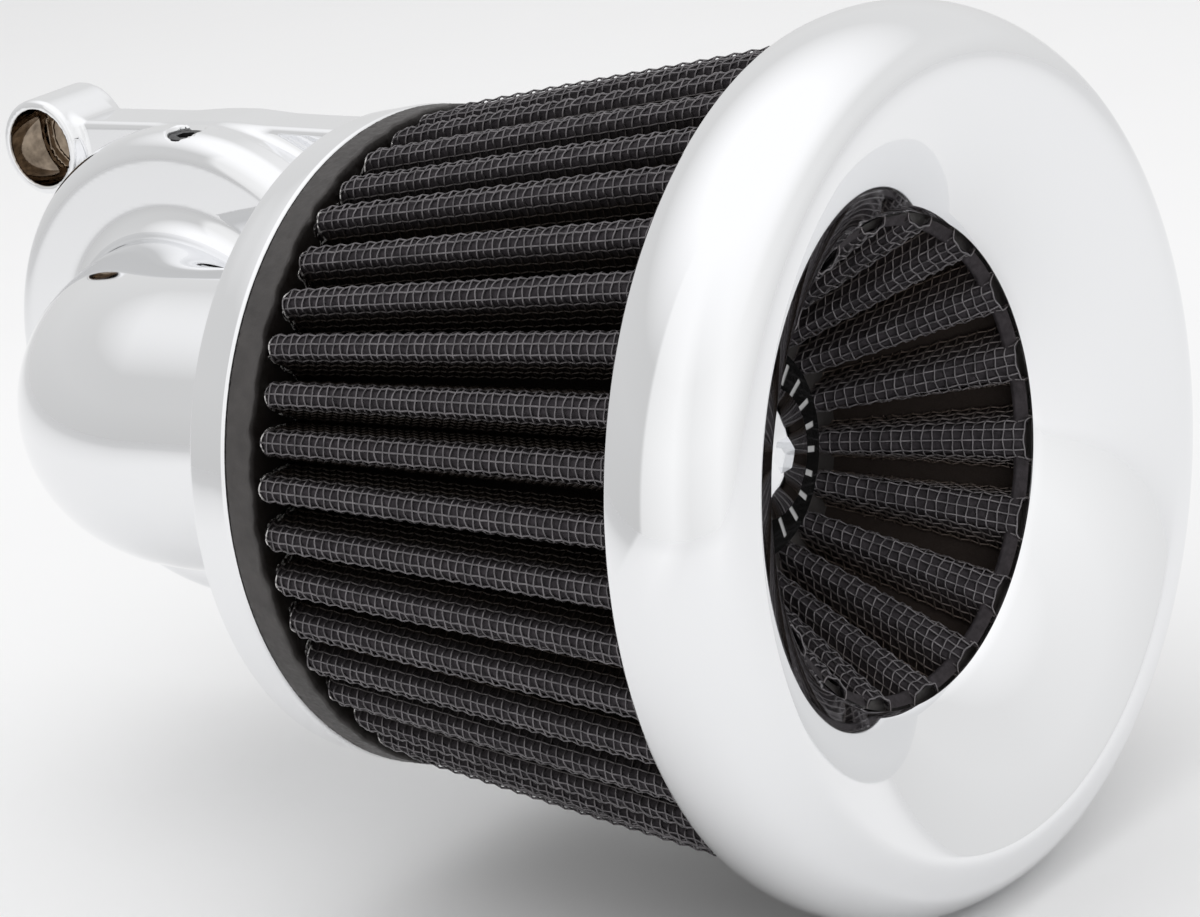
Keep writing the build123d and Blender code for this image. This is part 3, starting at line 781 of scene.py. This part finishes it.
STEP = 0.8
MARGIN = 3.0                # empty space round the casting, and the reach of the distance field
low = np.array(casting_low) - MARGIN
counts = np.ceil((np.array(casting_high) + MARGIN - low) / STEP).astype(int) + 1
axes = [low[i] + STEP * np.arange(counts[i]) for i in range(3)]
field = np.empty(counts, dtype=np.float32)
for i, x in enumerate(axes[0]):
    slab = np.stack(np.meshgrid([x], axes[1], axes[2], indexing="ij"), -1)
    field[i] = casting(slab)[0]
volume = openvdb.FloatGrid(MARGIN)
volume.copyFromArray(np.ascontiguousarray(np.clip(field, -MARGIN, MARGIN)))
points, quads = volume.convertToQuads(0.0)
points = points * STEP + low


def slope_of(where, h=0.05):
    """Direction in which the distance to the casting grows fastest."""
    push = np.eye(3) * h
    slope = np.stack([casting(where + p) - casting(where - p) for p in push], -1) / (2 * h)
    return slope / np.maximum(np.linalg.norm(slope, axis=-1, keepdims=True), 1e-6)


# a few Newton steps put the points exactly on the casting's surface
for _ in range(3):
    points = points - (np.clip(casting(points), -0.5, 0.5))[:, None] * slope_of(points)


def plate_with_shaded_bores(nodes, links, shader, where):
    # the plating does not reach into the breather bosses: their bores are dull brown metal, painted dark
    # as the shade inside them
    polished(nodes, links, shader, where)
    offs = []
    for cx, cz in BOSSES:
        shift = vector_step(nodes, links, "SUBTRACT", where, (cx * MM, 0, cz * MM))
        flat = vector_step(nodes, links, "MULTIPLY", shift, (1, 0, 1))
        offs.append(vector_step(nodes, links, "LENGTH", flat))
    nearest = arithmetic(nodes, links, "MINIMUM", *offs)
    outside_bores = rescaled(nodes, links, nearest, ((RECESS_R + 0.05) * MM, (RECESS_R + 0.35) * MM))
    bore_shade = ramp(nodes, links, noise(nodes, links, where, 320, 5, 0.6),
                 [(0.3, (0.13, 0.10, 0.075)), (0.7, (0.36, 0.29, 0.22))])
    links.new(mixed(nodes, links, outside_bores, bore_shade, CHROME), shader.inputs["Base Color"])


elbow_plate = wire_up(material("elbow_plate", CHROME, 1.0, 0.04), plate_with_shaded_bores)
new_piece("elbow_body", points, quads, "elbow", elbow_plate, ["elbow_casting"],
          normals=slope_of(points))

# ---- camera, light and floor -----------------------------------------------------------
right = (0.80074, 0.58157, -0.14351)
up = (-0.05176, 0.30585, 0.95067)
back_way = (0.59677, -0.75381, 0.27501)
camera_data = bpy.data.cameras.new("camera")
camera_data.lens = 135
camera_data.sensor_width = 36
camera_data.clip_end = 10
camera = bpy.data.objects.new("camera", camera_data)
turn = Matrix((right, up, back_way)).transposed().to_4x4()
camera.matrix_world = Matrix.Translation((0.6471, -0.7142, 0.2356)) @ turn
bpy.context.scene.collection.objects.link(camera)
bpy.context.scene.camera = camera


def area_light(name, place, target, size, power):
    data = bpy.data.lights.new(name, "AREA")
    data.shape = "RECTANGLE"
    data.size, data.size_y = size
    data.energy = power
    lamp = bpy.data.objects.new(name, data)
    way = Vector(target) - Vector(place)
    lamp.visible_glossy = False
    lamp.matrix_world = Matrix.Translation(place) @ way.to_track_quat("-Z", "Y").to_matrix().to_4x4()
    bpy.context.scene.collection.objects.link(lamp)


area_light("softbox_top", (0.0, -0.5, 1.6), (0.1, -0.06, 0.0), (1.4, 1.4), 4)

# the light tent: brightest at the right of the camera, greyer towards its left and behind
TENT_WALLS = [((heading + 180) / 360, shade) for heading, shade in
              ((-180, 0.66), (-123, 0.62), (-120, 0.86), (-88, 0.98), (-72, 0.88), (-60, 0.92),
               (-45, 0.98), (-15, 0.92), (45, 0.78), (110, 0.74), (180, 0.66))]


def heading_share(nodes, links, split):
    """The heading of a separated vector, from 0 (-180 degrees) to 1 (180 degrees)."""
    heading = arithmetic(nodes, links, "ARCTAN2", split["Y"], split["X"])
    return rescaled(nodes, links, heading, (-pi, pi))


world = bpy.data.worlds.new("tent")
bpy.context.scene.world = world
world.use_nodes = True
nodes, links = world.node_tree.nodes, world.node_tree.links
where = nodes.new("ShaderNodeTexCoord")
split = separated(nodes, links, where.outputs["Generated"])
walls = ramp(nodes, links, heading_share(nodes, links, split), TENT_WALLS)
# the walls are a little greyer at their foot, and the roof takes over near the top
foot = rescaled(nodes, links, split["Z"], (0.0, 0.3), (0.93, 1.0))
shaded = nodes.new("ShaderNodeVectorMath")
shaded.operation = "MULTIPLY"
links.new(walls, shaded.inputs[0])
links.new(foot, shaded.inputs[1])
height = rescaled(nodes, links, split["Z"], (0.55, 0.9))
tent = mixed(nodes, links, height, shaded.outputs["Vector"], (1.05, 1.05, 1.06))
links.new(tent, nodes["Background"].inputs["Color"])
nodes["Background"].inputs["Strength"].default_value = 1.1

floor_z = cad_box[0][2] - 0.0002
half = 6.0
corners = [(x * half, y * half, floor_z) for x, y in ((-1, -1), (1, -1), (1, 1), (-1, 1))]
mesh = bpy.data.meshes.new("floor")
mesh.from_pydata(corners, [], [(0, 1, 2, 3)])
floor = bpy.data.objects.new("floor", mesh)


def sweep(nodes, links, shader, where):
    # evenly pale round the object; further out its colour follows the brightness of the tent's walls at
    # each heading: painted light and shade that blends the floor into the walls at the horizon
    heading = heading_share(nodes, links, separated(nodes, links, where))
    far = rescaled(nodes, links, vector_step(nodes, links, "LENGTH", where), (0.35, 1.3))
    walls = ramp(nodes, links, heading, TENT_WALLS)
    links.new(mixed(nodes, links, far, (0.88, 0.88, 0.88), walls), shader.inputs["Base Color"])
    grain = noise(nodes, links, where, 30, 5)
    links.new(ramp(nodes, links, grain, [(0.3, 0.55), (0.7, 0.7)]), shader.inputs["Roughness"])


pale = wire_up(material("pale_floor", (0.82, 0.82, 0.82), 0.0, 0.6), sweep)
mesh.materials.append(pale)
bpy.context.scene.collection.objects.link(floor)

bpy.context.scene.view_settings.view_transform = "Standard"
